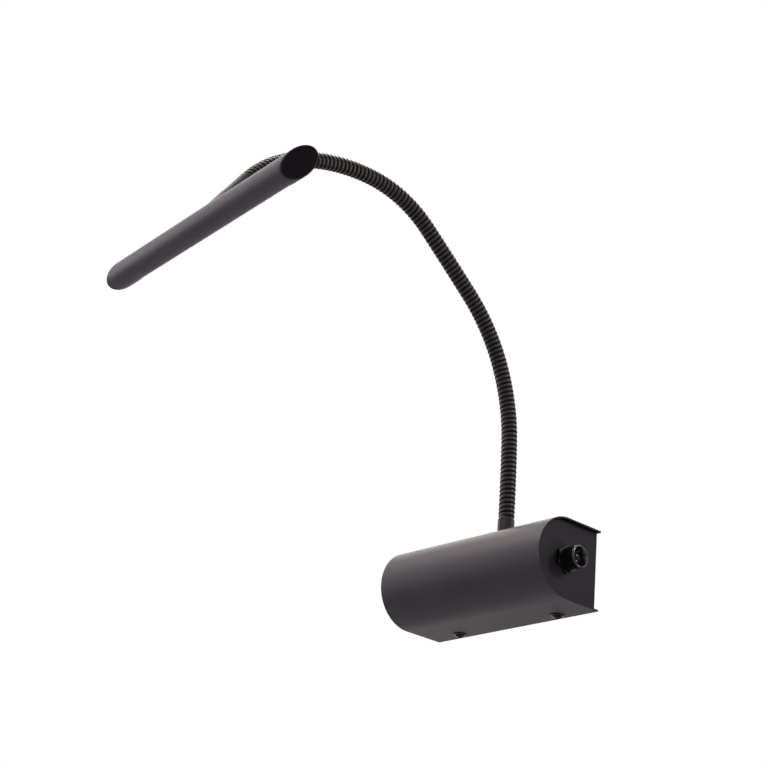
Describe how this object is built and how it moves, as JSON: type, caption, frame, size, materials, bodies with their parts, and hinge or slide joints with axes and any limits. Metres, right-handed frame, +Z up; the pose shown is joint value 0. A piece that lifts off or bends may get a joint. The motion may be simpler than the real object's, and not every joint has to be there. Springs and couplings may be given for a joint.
{
  "type": "gooseneck wall lamp",
  "caption": "Wall lamp with a half-round sheet base, push switch, ribbed gooseneck and a slant-ended tube head with a light slot.",
  "frame": {"origin": "middle of the two wall screw holes, on the wall plane", "axes": "+X along the base to the switch end, +Y into the wall, +Z up"},
  "size_m": [0.2295, 0.3125, 0.2877],
  "materials": {
    "cover_paint": "dark gunmetal satin paint",
    "chassis_paint": "dark gunmetal satin paint",
    "tube_paint": "dark gunmetal satin coating on aluminium tube",
    "neck_paint": "dark gunmetal satin",
    "neck_rib": "dark bronze black satin",
    "black_steel": "black oxide",
    "black_gloss": "glossy black",
    "black_plastic": "black moulded",
    "white_plastic": "white moulded",
    "ivory_plastic": "natural nylon",
    "led_yellow": "phosphor",
    "diffuser_white": "frosted opal",
    "steel": "zinc plated",
    "aluminium": "extruded",
    "rubber": "matte"
  },
  "bodies": {
    "base": {"chassis": "chassis_paint", "cover": "cover_paint", "cover_screws": "black_steel", "cable_grommet": "rubber", "terminal_block": "ivory_plastic", "led_driver": "white_plastic", "driver_screws": "steel", "switch_ring_nut": "black_gloss", "switch_bezel": "black_gloss", "switch_lock_nut": "steel", "switch_housing": "black_plastic", "switch_blades": "steel", "switch_spring": "steel", "neck_foot_nut": "neck_paint", "neck_washer": "steel", "neck_lock_nut": "steel", "neck_link_1": "neck_rib", "neck_core_1": "black_steel"},
    "neck_2": {"neck_link_2": "neck_rib", "neck_core_2": "black_steel"},
    "neck_3": {"neck_link_3": "neck_rib", "neck_core_3": "black_steel"},
    "neck_4": {"neck_link_4": "neck_rib", "neck_core_4": "black_steel"},
    "neck_5": {"neck_link_5": "neck_rib", "neck_core_5": "black_steel"},
    "neck_6": {"neck_link_6": "neck_rib", "neck_core_6": "black_steel"},
    "head": {"neck_link_7": "neck_rib", "neck_top_ferrule": "neck_paint", "head_stem": "neck_paint", "head_tube": "tube_paint", "end_cap_near": "black_plastic", "end_cap_far": "black_plastic", "led_carrier": "aluminium", "led_board": "white_plastic", "led_chips": "led_yellow", "diffuser": "diffuser_white"},
    "button": {"switch_button": "black_gloss"}
  },
  "joints": [
    {"name": "neck_nod_1", "type": "hinge", "parent": "base", "child": "neck_2", "pos_m": [0.00933, -0.02668, 0.09638], "axis": [0.9903, -0.1392, 0], "range_deg": [-25, 20]},
    {"name": "neck_sway_2", "type": "hinge", "parent": "neck_2", "child": "neck_3", "pos_m": [0.00768, -0.03841, 0.14919], "axis": [-0.1283, -0.9129, -0.3875], "range_deg": [-25, 25]},
    {"name": "neck_nod_3", "type": "hinge", "parent": "neck_3", "child": "neck_4", "pos_m": [0.00342, -0.06878, 0.19365], "axis": [0.9903, -0.1392, 0], "range_deg": [-25, 20]},
    {"name": "neck_sway_4", "type": "hinge", "parent": "neck_4", "child": "neck_5", "pos_m": [-0.00213, -0.10828, 0.23064], "axis": [-0.0933, -0.6639, -0.742], "range_deg": [-25, 25]},
    {"name": "neck_nod_5", "type": "hinge", "parent": "neck_5", "child": "neck_6", "pos_m": [-0.00896, -0.15686, 0.25182], "axis": [0.9903, -0.1392, 0], "range_deg": [-25, 20]},
    {"name": "neck_sway_6", "type": "hinge", "parent": "neck_6", "child": "head", "pos_m": [-0.01641, -0.20989, 0.24487], "axis": [0.0462, 0.3289, -0.9432], "range_deg": [-25, 25]},
    {"name": "switch_press", "type": "slide", "parent": "base", "child": "button", "axis": [-1, 0, 0], "range_m": [0, 0.003], "stiffness_N_per_m": 800, "springref_m": -0.0015, "deforming": ["switch_spring"]}
  ]
}
